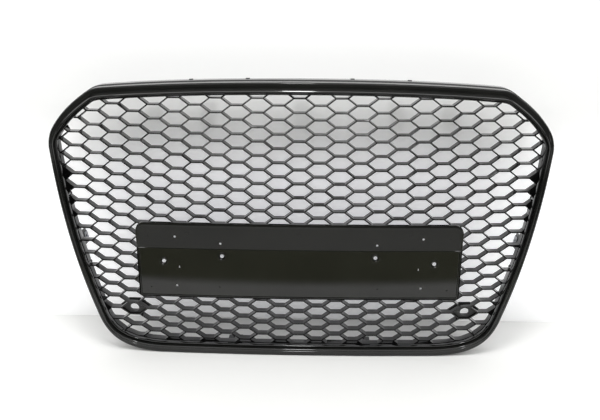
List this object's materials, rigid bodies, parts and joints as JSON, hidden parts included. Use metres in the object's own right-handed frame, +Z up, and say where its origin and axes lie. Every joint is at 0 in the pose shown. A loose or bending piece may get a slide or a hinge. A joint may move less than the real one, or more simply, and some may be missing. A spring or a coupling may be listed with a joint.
{
  "type": "front grille",
  "caption": "Honeycomb front grille for a car: gloss surround frame, curved honeycomb insert, number-plate carrier and parking-sensor holders, screwed and clipped together.",
  "frame": {"origin": "on the outer face of the spring clip on the middle upper fixing tab, 3.5 mm ahead of its closed end", "axes": "+X across the grille to the left of the car, seen from the front to the right; -Y out of the front; +Z up as fitted in the car, the crown leaning back by 12 degrees"},
  "size_m": [0.8348, 0.1039, 0.4814],
  "materials": {
    "frame_gloss": "high-gloss black ABS",
    "honeycomb_gloss": "gloss black ABS",
    "carrier_gloss": "high-gloss black ABS",
    "holder_black": "semi-gloss black nylon",
    "screw_black_zinc": "black zinc plating",
    "clip_spring_steel": "phosphated spring steel"
  },
  "bodies": {
    "root": {"surround_frame": "frame_gloss", "honeycomb_insert": "honeycomb_gloss", "number_plate_carrier": "carrier_gloss", "parking_sensor_holder_left": "holder_black", "parking_sensor_holder_right": "holder_black", "frame_screw_1": "screw_black_zinc", "frame_screw_2": "screw_black_zinc", "frame_screw_3": "screw_black_zinc", "frame_screw_4": "screw_black_zinc", "frame_screw_5": "screw_black_zinc", "frame_screw_6": "screw_black_zinc", "frame_screw_7": "screw_black_zinc", "frame_screw_8": "screw_black_zinc", "frame_screw_9": "screw_black_zinc", "frame_screw_10": "screw_black_zinc", "frame_screw_11": "screw_black_zinc", "frame_screw_12": "screw_black_zinc", "frame_screw_13": "screw_black_zinc", "frame_screw_14": "screw_black_zinc", "carrier_screw_1": "screw_black_zinc", "carrier_screw_2": "screw_black_zinc", "carrier_screw_3": "screw_black_zinc", "carrier_screw_4": "screw_black_zinc", "carrier_screw_5": "screw_black_zinc", "carrier_screw_6": "screw_black_zinc", "spring_clip_1": "clip_spring_steel", "spring_clip_2": "clip_spring_steel", "spring_clip_3": "clip_spring_steel", "spring_clip_4": "clip_spring_steel", "spring_clip_5": "clip_spring_steel", "spring_clip_6": "clip_spring_steel", "spring_clip_7": "clip_spring_steel"}
  },
  "joints": []
}
